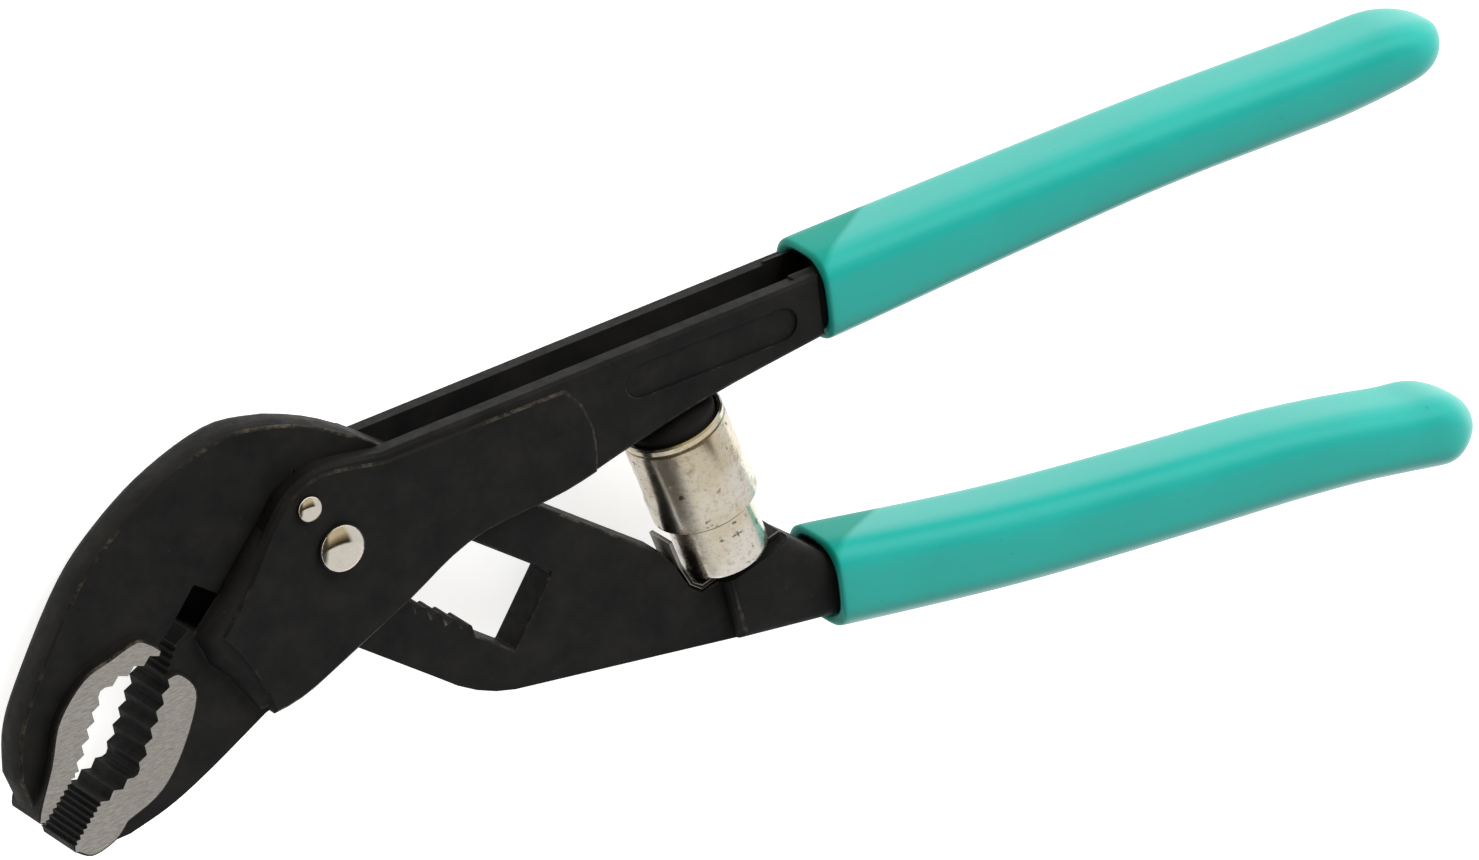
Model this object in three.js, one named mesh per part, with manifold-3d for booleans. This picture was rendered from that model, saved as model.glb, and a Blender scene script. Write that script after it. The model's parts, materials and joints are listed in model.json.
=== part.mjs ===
// Self-setting water pump pliers, lying flat, in millimetres.
// The pivot axis is the Z axis, the back of the head lies on Z = 0,
// the jaws point to -X and both handles run to +X.

import * as THREE from 'three';
import { mergeVertices } from 'three/addons/utils/BufferGeometryUtils.js';
import Module from 'manifold-3d';

const wasm = await Module();
wasm.setup();
const { Manifold, Mesh } = wasm;

// Driving sizes.
const GAP = 0.3;
const HEAD_THICKNESS = 12.4;
const BOSS_RISE = 0.4;
const SLOT_WIDTH = 6.2;
const PAD_THICKNESS = 9;
const UPPER_PAD_BACK_RISE = 0.5;
const LOWER_JAW_THICKNESS = 7.4;
const EDGE_BREAK = 0.5;

const RIVET_HEAD_DIAMETER = 7.6;
const RIVET_BACK_DIAMETER = 6.4;
const RIVET_SHANK_DIAMETER = 3.4;
const STOP_HEAD_DIAMETER = 4.1;
const STOP_BACK_DIAMETER = 3.5;
const STOP_SHANK_DIAMETER = 2.4;
const STOP_POSITION = [-4.2, 7.8];
const RIVET_BACK_DEPTH = 1.3;

const RACK_ANGLE = -38.3;
const RACK_PITCH = 2.95;
const RACK_TOOTH_HEIGHT = 1.1;
const RACK_TEETH = 13;
const RACK_START = -6.5;
const WINDOW_LOW = -5.2;
const WINDOW_HIGH = 7.3;
const WINDOW_START = -10.8;
const WINDOW_END = 39.4;
const BAR_LOW = -13;
const BAR_HIGH = 15.5;
const BACK_EDGE_INSET = 0.5;
const BACK_EDGE_DEPTH = 1.6;
const BUSH_WALL = 0.6;
const PAWL_LEFT = -5.2;
const PAWL_RIGHT = 7;
const PAWL_TOOTH_HEIGHT = 0.8;

const STRUT_FOOT = [66.7, -29.4];
const STRUT_LEAN = 14.9;
const OUTER_SLEEVE_DIAMETER = 15.9;
const SLEEVE_WALL = 0.8;
const SLEEVE_CLEARANCE = 0.55;
const SLEEVE_LIP = 0.8;
const SLEEVE_LIP_STEP = 0.4;
const SLEEVE_EDGE = 0.3;
const OUTER_SLEEVE_LENGTH = 15.8;
const STRUT_STROKE = 6.6;
const SHOE_RISE = 1.9;
const SHOE_PLUG = 1.4;
const SHOE_CLEARANCE = 0.9;
const SEAT_SHEET = 0.7;
const SEAT_WIDTH = 5.4;
const SEAT_HEIGHT = 10.4;
const SEAT_BEND = 6.2;
const SEAT_KNEE = [0.65, 2.2];
const SEAT_FLOOR_START = 2.05;
const POCKET_SHOULDER = [1.2, 3.6];
const SPRING_WIRE = 1.4;
const SPRING_TURNS = 7;

const GRIP_WALL = 1.8;
const GRIP_THICKNESS = 14.4;
const GRIP_ROUND = 4.2;

// The jaws' tooth lines: from the lower jaw's tip to its throat, and from the upper jaw's throat to its tip.
const LOWER_TOOTH_LINE = [[-48.7, -30.4], [-43.4, -25.2], [-38.5, -23.4], [-36.3, -21.6], [-29.8, -10.4]];
const LOWER_THROAT_END = [-27.4, -6.4];
const UPPER_TOOTH_LINE = [[-30.5, -6.7], [-38.6, -8.4], [-41.1, -10.5], [-45.9, -19.4], [-52.4, -25.6]];
const FINE_TOOTH_DEPTH = 0.5;
const COARSE_TOOTH_DEPTH = 0.9;
const LOWER_HOLLOW_DEPTH = 1.1;
const UPPER_HOLLOW_DEPTH = 1.3;

// The cheeks of the slotted handle, from their front lower corner over the top and back below.
const CHEEK_NOSE = [-21.8, -6.6];
const CHEEK_CREST = [[-16, -0.5], [-10.4, 7.8], [-6.3, 11.6], [-0.5, 13], [9, 11.6]];
const CHANNEL_TOP = 12.6;
const CHANNEL_END_LOW = 2.8;
const CHANNEL_UNDERSIDE = [[65.5, 0.4], [50, -2.7]];
const CHEEK_UNDERSIDE = [[38, -5.4], [22, -7.1], [9.5, -12.9], [-4.6, -19.2]];
const CHEEK_CHIN = [-14.2, -21.8];
const CHEEK_CHIN_TURN = [-9.5, -21.6];
const CHEEK_FRONT_TURN = [-16.2, -13];

// The raised pivot boss on both cheeks. Below, it reaches past the cheek's edge, which trims it.
const BOSS_INSET = 0.9;
const BOSS_CREST = [[-15.6, -0.7], [-10, 7.3], [-6, 10.8], [-0.6, 12.2], [9, 10.5]];
const BOSS_END_TOP = [40, 10.5];
const BOSS_END_TURN = [46.6, 4];
const BOSS_END_LOW = [43, -6.4];
const BOSS_UNDERSIDE = [[36, -7.4], [22, -9.2], [9.5, -15], [-5, -21.4]];
const BOSS_CHIN = [-13.9, -22.8];
const BOSS_CHIN_TURN = [-9.4, -22.9];
const BOSS_FRONT_TURN = [-15.8, -13];

// The rounded shoulder from the cheeks' nose down to the lower jaw: from the nose along its upper edge,
// through the inside of the cheeks, and along its lower edge back to the nose.
const SHOULDER_ROUND = 2.2;
const SHOULDER_CREST = [[-24.2, -6.2], [-18.8, -1.2], [-11.6, 6.6]];
const SHOULDER_INSIDE = [[-5, 3], [-4, -11], [-11.5, -21]];
const SHOULDER_FRONT = [[-15.6, -21.2], [-19.6, -14.4], [-22.6, -10.9]];

// The slot: its floor behind the lower jaw, and the shallower trough of the channel.
const SLOT_MOUTH = [-40, -0.8];
const SLOT_FLOOR = [[-24.8, -4.9], [-6, -17.6]];
const SLOT_HEEL = [4, -32];
const SLOT_OPEN_END = 46;
const TROUGH_UNDER_GRIP = 3;
const TROUGH_FLOOR = [[40, 1.4], [66, 4.6]];
const TROUGH_END_FLOOR = 6.2;
const PANEL_ENDS = [[52.6, 7.1], [77.1, 7.1]];
const PANEL_HEIGHT = 5.3;
const PANEL_SINK = 0.4;

// The lower jaw's underside and the back of its thick pad.
const LOWER_JAW_CHIN = [[-9.2, -20.6], [-14.5, -22.3]];
const LOWER_JAW_BELLY = [[-24.7, -27.6], [-31.9, -30.7], [-38.9, -32.5]];
const LOWER_JAW_NOSE = [[-46, -32.7], [-48.5, -31.3]];
const LOWER_PAD_BACK = [[-27.4, -10.6], [-25.2, -14.8], [-28.6, -22.4], [-33.2, -27.7], [-39.2, -30.2]];
const LOWER_PAD_NOSE = [[-41.6, -32.3], [-45.6, -33.3], [-48.4, -31.6]];

// The toothed handle: the upper jaw's back from its tip, its pad, the bar, and the shank.
const JAW_BACK_TIP = [[-53, -25.2], [-54.9, -18.7]];
const JAW_BACK = [[-53.9, -12.1], [-50.6, -5.5], [-42, 6.9], [-34.4, 13.7], [-25, 19.1], [-14, 22.2],
  [-5, 20.7]];
const JAW_SHOULDER_TURN = [1, 18.6];
const UPPER_PAD_BACK = [[-53.4, -24], [-50.3, -16.9], [-48, -10.6], [-43.2, -5.7], [-38.2, -4.1],
  [-33.8, -3], [-31.6, -4.1], [-30, -5.7]];
const BAR_SHOULDER = -5;
const BAR_HEEL = 29;
const BAR_THROAT = -18.4;
const THROAT_TURN = [-23.6, 0];
const THROAT_END = [-26.7, -3.5];
const HEEL_TURN = [20.5, -33.4];
const SHANK_TOP = -33;
const SHANK_LOW = -42.3;
const SHANK_UNDERSIDE = [[66, -40.7], [27, -34.7]];
const LOWER_NECK = [[73.8, -26.4], [62.2, -26.8], [64.4, -40.3]];
// Far corners of the plate whose deeply broken edge shapes the upper jaw's back.
const BACK_ROOM_START = [[-48, -40], [-53, -32]];
const BACK_ROOM_END = [[90, -20], [90, -60]];

// Each dipped grip along X: its start, its end, and its edges as stations of lower edge and upper edge at a
// share of the way to where the tip starts to round.
const GRIP_TIP = 4.9;
const UPPER_GRIP_START = 84.6;
const UPPER_GRIP_END = 197.3;
const UPPER_EDGES = [[0, 0.9, 15.2], [0.31, 2.9, 15.6], [0.58, 4.2, 15.9], [0.85, 4, 15.4], [1, 5.4, 15.6]];
const LOWER_GRIP_START = 80.6;
const LOWER_GRIP_END = 196;
const LOWER_EDGES = [[0, -44.6, -30.2], [0.284, -49.4, -35.8], [0.538, -52.2, -39.2], [0.8, -54.8, -42.5],
  [1, -58.7, -48.9]];

// Sizes that follow from the driving ones.
const MID = HEAD_THICKNESS / 2;
const UPPER_STATIONS = stationsOf(UPPER_EDGES, UPPER_GRIP_START, UPPER_GRIP_END);
const LOWER_STATIONS = stationsOf(LOWER_EDGES, LOWER_GRIP_START, LOWER_GRIP_END);
const CHANNEL_THICKNESS = HEAD_THICKNESS - 2 * BOSS_RISE;
const PLATE_THICKNESS = SLOT_WIDTH - 2 * GAP;
const SHOULDER_DEPTH = (CHANNEL_THICKNESS - LOWER_JAW_THICKNESS) / 2;
const BUSH_BORE = RIVET_SHANK_DIAMETER / 2 + GAP;
const BUSH_RADIUS = BUSH_BORE + BUSH_WALL;
const PAWL_BORE = BUSH_RADIUS + GAP;
const OUTER_BORE = OUTER_SLEEVE_DIAMETER / 2 - SLEEVE_WALL;
const INNER_RADIUS = OUTER_BORE - SLEEVE_CLEARANCE;
const INNER_BORE = INNER_RADIUS - SLEEVE_WALL;
const OUTER_SLEEVE_END = channelHeight() - SHOE_CLEARANCE - SHOE_RISE;
const OUTER_SLEEVE_START = OUTER_SLEEVE_END - OUTER_SLEEVE_LENGTH;
const SEAT_TOP = GAP + SEAT_SHEET;
const SEAT_BACK = -OUTER_SLEEVE_DIAMETER / 2 - GAP - SEAT_SHEET;
const POCKET_LEFT = SEAT_BACK - GAP;
const POCKET_LIP = [POCKET_LEFT - POCKET_SHOULDER[0], SEAT_BEND + POCKET_SHOULDER[1]];
const POCKET_RIGHT = OUTER_SLEEVE_DIAMETER / 2 + GAP;
const INNER_SLEEVE_START = SEAT_TOP + GAP;
const SHOE_START = OUTER_SLEEVE_END - SHOE_PLUG;
const INNER_SLEEVE_END = SHOE_START - STRUT_STROKE - GAP;
const SPRING_START = INNER_SLEEVE_START + SLEEVE_WALL + GAP;
const SPRING_END = SHOE_START - GAP;

const BLACK = new THREE.MeshStandardMaterial({ color: 0x252525, roughness: 0.55, metalness: 0.5 });
const NICKEL = new THREE.MeshStandardMaterial({ color: 0xbfb8a8, roughness: 0.25, metalness: 1 });
const STEEL = new THREE.MeshStandardMaterial({ color: 0x8d8a85, roughness: 0.4, metalness: 1 });
const TEAL = new THREE.MeshStandardMaterial({ color: 0x43b9a7, roughness: 0.35, metalness: 0 });

// A grip's edges with each share of the way turned into an X.
function stationsOf(edges, start, end) {
  return edges.map(([share, low, high]) => [start + share * (end - GRIP_TIP - start), low, high]);
}

// A point given along the rack and across it, turned into the plan.
function onRack(along, across) {
  const turn = THREE.MathUtils.degToRad(RACK_ANGLE);
  return new THREE.Vector2(along, across).rotateAround(new THREE.Vector2(), turn);
}

// A point given across the spring strut and up along it, turned into the plan.
function onStrut(across, up) {
  const foot = new THREE.Vector2(...STRUT_FOOT);
  const turn = THREE.MathUtils.degToRad(STRUT_LEAN);
  return new THREE.Vector2(across, up).rotateAround(new THREE.Vector2(), turn).add(foot);
}

// How far up the strut's axis the channel's underside lies.
function channelHeight() {
  const [back, front] = CHANNEL_UNDERSIDE;
  const along = new THREE.Vector2(back[0] - front[0], back[1] - front[1]);
  const up = onStrut(0, 1).sub(onStrut(0, 0));
  const reach = new THREE.Vector2(...front).sub(onStrut(0, 0));
  return reach.cross(along) / up.cross(along);
}

function shapeOf(points) {
  return new THREE.Shape(points.map((p) => (p.isVector2 ? p : new THREE.Vector2(...p))));
}

function vectors(points) {
  return points.map((p) => new THREE.Vector2(...p));
}

// A closed solid from any closed geometry, with the shared corners merged.
function solid(geometry) {
  const bare = new THREE.BufferGeometry();
  bare.setAttribute('position', geometry.getAttribute('position'));
  bare.setIndex(geometry.getIndex());
  const welded = mergeVertices(bare, 1e-4);
  const index = welded.getIndex().array;
  const faces = [];
  for (let i = 0; i < index.length; i += 3) {
    const [a, b, c] = [index[i], index[i + 1], index[i + 2]];
    if (a !== b && b !== c && c !== a) faces.push(a, b, c);
  }
  return new Manifold(new Mesh({
    numProp: 3,
    vertProperties: new Float32Array(welded.getAttribute('position').array),
    triVerts: new Uint32Array(faces),
  }));
}

// The outline as points, with no two of them in one place.
function cleaned(shape, segments) {
  const points = shape.extractPoints(segments).shape;
  return new THREE.Shape(points.filter((p, i) => p.distanceTo(points[(i + 1) % points.length]) > 0.01));
}

// A plate of the given thickness about the middle plane, its edges broken when asked.
function plate(shape, thickness, segments = 6, edge = 0, depth = edge) {
  const geometry = new THREE.ExtrudeGeometry(cleaned(shape, segments), {
    depth: thickness - 2 * depth,
    bevelEnabled: edge > 0,
    bevelSize: edge,
    bevelThickness: depth,
    bevelOffset: -edge,
    bevelSegments: edge > 1 ? 4 : 1,
  });
  geometry.translate(0, 0, MID - thickness / 2 + depth);
  return solid(geometry);
}

// A round piece along Z from one height to another.
function round(radius, low, high, x, y, segments = 32) {
  const geometry = new THREE.CylinderGeometry(radius, radius, high - low, segments);
  geometry.rotateX(Math.PI / 2);
  geometry.translate(x, y, (low + high) / 2);
  return solid(geometry);
}

// A turned piece whose axis is the strut's own, from points of radius and height up the strut.
function turnedOnStrut(points, segments = 40) {
  const geometry = new THREE.LatheGeometry(vectors(points), segments);
  geometry.rotateZ(THREE.MathUtils.degToRad(STRUT_LEAN));
  geometry.translate(STRUT_FOOT[0], STRUT_FOOT[1], MID);
  return solid(geometry);
}

function meshOf(name, body, material) {
  const data = body.getMesh();
  const geometry = new THREE.BufferGeometry();
  geometry.setAttribute('position', new THREE.BufferAttribute(data.vertProperties, 3));
  geometry.setIndex(new THREE.BufferAttribute(data.triVerts, 1));
  geometry.computeVertexNormals();
  const mesh = new THREE.Mesh(geometry, material);
  mesh.name = name;
  return mesh;
}

// A row of teeth from where the outline stands to a point, cut to the right of the way there.
function teeth(shape, end, count, depth) {
  const start = shape.currentPoint.clone();
  const step = new THREE.Vector2(...end).sub(start).divideScalar(count);
  const inward = new THREE.Vector2(step.y, -step.x).normalize().multiplyScalar(depth);
  for (let i = 0; i < count; i += 1) {
    const root = start.clone().addScaledVector(step, i + 0.5).add(inward);
    const crest = start.clone().addScaledVector(step, i + 1);
    shape.lineTo(root.x, root.y);
    shape.lineTo(crest.x, crest.y);
  }
}

// The round pipe hollow in a jaw, also to the right of the way.
function hollow(shape, end, depth) {
  const start = shape.currentPoint.clone();
  const finish = new THREE.Vector2(...end);
  const way = finish.clone().sub(start);
  const inward = new THREE.Vector2(way.y, -way.x).normalize().multiplyScalar(2 * depth);
  const turn = start.clone().add(finish).multiplyScalar(0.5).add(inward);
  shape.quadraticCurveTo(turn.x, turn.y, finish.x, finish.y);
}

// Lower jaw: fine teeth at the tip, a hollow, coarse teeth back towards the throat.
function lowerJawTeeth(shape) {
  const [tip, fineEnd, hollowStart, hollowEnd, throat] = LOWER_TOOTH_LINE;
  shape.moveTo(...tip);
  teeth(shape, fineEnd, 8, FINE_TOOTH_DEPTH);
  teeth(shape, hollowStart, 2, COARSE_TOOTH_DEPTH);
  hollow(shape, hollowEnd, LOWER_HOLLOW_DEPTH);
  teeth(shape, throat, 5, COARSE_TOOTH_DEPTH);
}

// Upper jaw: coarse teeth at the throat, a hollow, coarse teeth, fine teeth at the tip.
function upperJawTeeth(shape) {
  const [throat, hollowStart, hollowEnd, fineStart, tip] = UPPER_TOOTH_LINE;
  shape.moveTo(...throat);
  teeth(shape, hollowStart, 3, COARSE_TOOTH_DEPTH);
  hollow(shape, hollowEnd, UPPER_HOLLOW_DEPTH);
  teeth(shape, fineStart, 4, COARSE_TOOTH_DEPTH);
  teeth(shape, tip, 9, FINE_TOOTH_DEPTH);
}

// The side view of a handle's end, drawn in from the grip's outside by the inset. The neck is the
// points ahead of the grip, from the upper edge round to the lower one.
function handleShape(stations, reach, inset, neck) {
  const low = stations.map(([x, y]) => [x, y + inset]);
  const high = stations.map(([x, , y]) => [x, y - inset]).reverse();
  const end = reach - inset;
  const [lastX, lastLow] = low[low.length - 1];
  const [, lastHigh] = high[0];
  const tip = (lastLow + lastHigh) / 2;
  const shape = new THREE.Shape();
  shape.moveTo(...low[0]);
  shape.splineThru(vectors(low.slice(1)));
  const turn = lastX + 0.55 * (end - lastX);
  shape.bezierCurveTo(turn, lastLow, end, tip - 0.55 * (tip - lastLow), end, tip);
  shape.bezierCurveTo(end, tip + 0.55 * (lastHigh - tip), turn, lastHigh, lastX, lastHigh);
  shape.splineThru(vectors(high.slice(1)));
  neck.forEach((point) => shape.lineTo(...point));
  return shape;
}

// A neck that carries the first station straight on to an X of its own.
function straightNeck(stations, inset, x) {
  const [, low, high] = stations[0];
  return [[x, high - inset], [x, low + inset]];
}

function handleCore(stations, end, neck) {
  const shape = handleShape(stations, end, GRIP_WALL + GAP, neck);
  return plate(shape, GRIP_THICKNESS - 2 * GRIP_WALL - 2 * GAP, 5, GRIP_ROUND - GRIP_WALL - GAP);
}

// A dipped grip: the rounded outside, cut square at the front, less the room for the handle's core.
function grip(stations, end) {
  const front = stations[0][0];
  const ahead = front - 3 * GRIP_ROUND;
  const outer = handleShape(stations, end, 0, straightNeck(stations, 0, ahead));
  const inner = handleShape(stations, end, GRIP_WALL, straightNeck(stations, GRIP_WALL, ahead));
  const outside = plate(outer, GRIP_THICKNESS, 6, GRIP_ROUND);
  const room = plate(inner, GRIP_THICKNESS - 2 * GRIP_WALL, 5, GRIP_ROUND - GRIP_WALL);
  const reach = 6 * GRIP_THICKNESS;
  const cut = new THREE.BoxGeometry(reach, reach, reach);
  cut.translate(front - reach / 2, stations[0][1], 0);
  return outside.subtract(room).subtract(solid(cut));
}

// Slotted handle: two cheeks over the pivot, a channel towards the grip, and the lower jaw.
function cheekShape() {
  const front = UPPER_GRIP_START - GAP;
  const shape = new THREE.Shape();
  shape.moveTo(...CHEEK_NOSE);
  shape.splineThru(vectors(CHEEK_CREST));
  shape.lineTo(front, CHANNEL_TOP);
  shape.lineTo(front, CHANNEL_END_LOW);
  shape.splineThru(vectors([...CHANNEL_UNDERSIDE, ...CHEEK_UNDERSIDE]));
  shape.quadraticCurveTo(...CHEEK_CHIN_TURN, ...CHEEK_CHIN);
  shape.quadraticCurveTo(...CHEEK_FRONT_TURN, ...CHEEK_NOSE);
  return shape;
}

// The raised pivot boss stands a little inside the cheek's top edge and ends in an arc.
function bossShape() {
  const shape = new THREE.Shape();
  const nose = [CHEEK_NOSE[0] + BOSS_INSET, CHEEK_NOSE[1] - BOSS_INSET / 3];
  shape.moveTo(...nose);
  shape.splineThru(vectors(BOSS_CREST));
  shape.lineTo(...BOSS_END_TOP);
  shape.quadraticCurveTo(...BOSS_END_TURN, ...BOSS_END_LOW);
  shape.splineThru(vectors(BOSS_UNDERSIDE));
  shape.quadraticCurveTo(...BOSS_CHIN_TURN, ...BOSS_CHIN);
  shape.quadraticCurveTo(...BOSS_FRONT_TURN, ...nose);
  return shape;
}

function lowerJawShape() {
  const shape = new THREE.Shape();
  lowerJawTeeth(shape);
  teeth(shape, LOWER_THROAT_END, 4, FINE_TOOTH_DEPTH);
  [...SLOT_FLOOR, ...LOWER_JAW_CHIN].forEach((point) => shape.lineTo(...point));
  shape.splineThru(vectors(LOWER_JAW_BELLY));
  LOWER_JAW_NOSE.forEach((point) => shape.lineTo(...point));
  return shape;
}

function lowerPadShape() {
  const shape = new THREE.Shape();
  lowerJawTeeth(shape);
  shape.splineThru(vectors(LOWER_PAD_BACK));
  shape.splineThru(vectors(LOWER_PAD_NOSE));
  return shape;
}

// The slot that the toothed handle passes through, open above and, over the pivot, below.
function slotRoom() {
  const end = UPPER_GRIP_START + TROUGH_UNDER_GRIP;
  const above = 2 * CHANNEL_TOP;
  const through = shapeOf([SLOT_MOUTH, ...SLOT_FLOOR, SLOT_HEEL, [SLOT_OPEN_END, SLOT_HEEL[1]],
    [SLOT_OPEN_END, above], [SLOT_MOUTH[0], above]]);
  const trough = shapeOf([...TROUGH_FLOOR, [end, TROUGH_END_FLOOR], [end, above],
    [TROUGH_FLOOR[0][0], above]]);
  return plate(through, SLOT_WIDTH).add(plate(trough, SLOT_WIDTH));
}

// The bare obround panel sunk into the channel's near cheek.
function panelRoom() {
  const top = MID + CHANNEL_THICKNESS / 2;
  const shape = new THREE.Shape();
  const r = PANEL_HEIGHT / 2;
  shape.absarc(...PANEL_ENDS[0], r, Math.PI * 0.5, Math.PI * 1.5, false);
  shape.absarc(...PANEL_ENDS[1], r, -Math.PI * 0.5, Math.PI * 0.5, false);
  const geometry = new THREE.ExtrudeGeometry(shape, {
    depth: 2 * PANEL_SINK,
    bevelEnabled: false,
    curveSegments: 8,
  });
  geometry.translate(0, 0, top - PANEL_SINK);
  return solid(geometry);
}

// The room for a rivet: its shank's hole and the seat of its flush back end.
function rivetRoom(x, y, shank, back) {
  const hole = round(shank / 2 + GAP, -HEAD_THICKNESS, 2 * HEAD_THICKNESS, x, y);
  return hole.add(round(back / 2 + GAP, -HEAD_THICKNESS, RIVET_BACK_DEPTH + GAP, x, y));
}

function slottedHandle() {
  const neck = straightNeck(UPPER_STATIONS, GRIP_WALL + GAP, UPPER_GRIP_START - GRIP_ROUND);
  const shoulder = shapeOf([...SHOULDER_CREST, ...SHOULDER_INSIDE, ...SHOULDER_FRONT]);
  const body = plate(cheekShape(), CHANNEL_THICKNESS, 4, EDGE_BREAK)
    .add(plate(cheekShape(), HEAD_THICKNESS, 4, EDGE_BREAK)
      .intersect(plate(bossShape(), HEAD_THICKNESS, 4, EDGE_BREAK)))
    .add(plate(shoulder, CHANNEL_THICKNESS, 4, SHOULDER_ROUND, SHOULDER_DEPTH))
    .add(plate(lowerJawShape(), LOWER_JAW_THICKNESS, 4))
    .add(plate(lowerPadShape(), PAD_THICKNESS, 4))
    .add(handleCore(UPPER_STATIONS, UPPER_GRIP_END, neck));
  return body.subtract(slotRoom())
    .subtract(panelRoom())
    .subtract(rivetRoom(0, 0, RIVET_SHANK_DIAMETER, RIVET_BACK_DIAMETER))
    .subtract(rivetRoom(...STOP_POSITION, STOP_SHANK_DIAMETER, STOP_BACK_DIAMETER));
}

// A rivet: domed head in front, plain shank, flush flat back end.
function rivet(x, y, head, shank, back) {
  const low = HEAD_THICKNESS + GAP;
  const dome = head * 0.17;
  const profile = new THREE.Shape();
  profile.moveTo(0, 0);
  profile.lineTo(back / 2, 0);
  profile.lineTo(back / 2, RIVET_BACK_DEPTH);
  profile.lineTo(shank / 2, RIVET_BACK_DEPTH);
  profile.lineTo(shank / 2, low);
  profile.lineTo(head / 2, low);
  profile.bezierCurveTo(head / 2, low + dome, head / 4, low + dome * 1.5, 0, low + dome * 1.5);
  const points = profile.extractPoints(6).shape;
  const geometry = new THREE.LatheGeometry(points, 32);
  geometry.rotateX(Math.PI / 2);
  geometry.translate(x, y, 0);
  return solid(geometry);
}

// Upper jaw's back, from the tip round to where the bar's upper edge starts.
function jawBack(shape) {
  const barStart = onRack(BAR_SHOULDER, BAR_HIGH);
  JAW_BACK_TIP.forEach((point) => shape.lineTo(...point));
  shape.splineThru(vectors(JAW_BACK));
  shape.quadraticCurveTo(...JAW_SHOULDER_TURN, barStart.x, barStart.y);
}

// Toothed handle: upper jaw, windowed bar and thick shank towards the grip.
function toothedPlateShape() {
  const shape = new THREE.Shape();
  const lip = onStrut(...POCKET_LIP);
  const heel = onRack(BAR_HEEL, BAR_LOW);
  const throat = onRack(BAR_THROAT, BAR_LOW);
  const front = LOWER_GRIP_START - GRIP_ROUND;
  upperJawTeeth(shape);
  jawBack(shape);
  shape.lineTo(lip.x, lip.y);
  shape.lineTo(front, SHANK_TOP);
  shape.lineTo(front, SHANK_LOW);
  SHANK_UNDERSIDE.forEach((point) => shape.lineTo(...point));
  shape.quadraticCurveTo(...HEEL_TURN, heel.x, heel.y);
  shape.lineTo(throat.x, throat.y);
  shape.quadraticCurveTo(...THROAT_TURN, ...THROAT_END);
  return shape;
}

// A generous plate with its edges broken deeply, which only touches the jaw's back.
function backEdgeRoom() {
  const shape = new THREE.Shape();
  shape.moveTo(...BACK_ROOM_START[0]);
  shape.lineTo(...BACK_ROOM_START[1]);
  jawBack(shape);
  BACK_ROOM_END.forEach((point) => shape.lineTo(...point));
  return plate(shape, PLATE_THICKNESS, 4, BACK_EDGE_INSET, BACK_EDGE_DEPTH);
}

// The upper jaw's pad stands out in front, and hardly at all behind.
function upperPad() {
  const shape = new THREE.Shape();
  upperJawTeeth(shape);
  shape.splineThru(vectors(UPPER_PAD_BACK));
  const back = MID - PLATE_THICKNESS / 2 - UPPER_PAD_BACK_RISE;
  return plate(shape, PAD_THICKNESS, 4).trimByPlane([0, 0, 1], back);
}

// The window: a smooth upper edge and a toothed lower one.
function windowShape() {
  const shape = new THREE.Shape();
  const points = [onRack(WINDOW_START, WINDOW_HIGH), onRack(WINDOW_START, WINDOW_LOW)];
  for (let i = 0; i < RACK_TEETH; i += 1) {
    const start = RACK_START + i * RACK_PITCH;
    points.push(onRack(start, WINDOW_LOW));
    points.push(onRack(start + RACK_PITCH * 0.35, WINDOW_LOW + RACK_TOOTH_HEIGHT));
    points.push(onRack(start + RACK_PITCH * 0.5, WINDOW_LOW + RACK_TOOTH_HEIGHT));
  }
  points.push(onRack(RACK_START + RACK_TEETH * RACK_PITCH, WINDOW_LOW));
  points.push(onRack(WINDOW_END, WINDOW_LOW));
  points.push(onRack(WINDOW_END, WINDOW_HIGH));
  shape.setFromPoints(points);
  return shape;
}

// The pocket that holds the strut's foot, its wall following the seat's turned-up side.
function pocketShape() {
  const above = 2 * SEAT_HEIGHT;
  const corners = [[POCKET_LEFT + SEAT_FLOOR_START, 0], [POCKET_RIGHT, 0], [POCKET_RIGHT, above],
    [POCKET_LIP[0], above], POCKET_LIP, [POCKET_LEFT, SEAT_BEND],
    [POCKET_LEFT + SEAT_KNEE[0], SEAT_KNEE[1]]];
  return shapeOf(corners.map((corner) => onStrut(...corner)));
}

function toothedHandle() {
  return plate(toothedPlateShape(), PLATE_THICKNESS, 4)
    .intersect(backEdgeRoom())
    .add(upperPad())
    .add(handleCore(LOWER_STATIONS, LOWER_GRIP_END, LOWER_NECK))
    .subtract(plate(windowShape(), 2 * HEAD_THICKNESS))
    .subtract(plate(pocketShape(), 2 * HEAD_THICKNESS));
}

// Bush on the pivot rivet, inside the slot.
function pivotBush() {
  const low = MID - PLATE_THICKNESS / 2;
  const high = MID + PLATE_THICKNESS / 2;
  return round(BUSH_RADIUS, low, high, 0, 0).subtract(round(BUSH_BORE, low - GAP, high + GAP, 0, 0));
}

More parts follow.
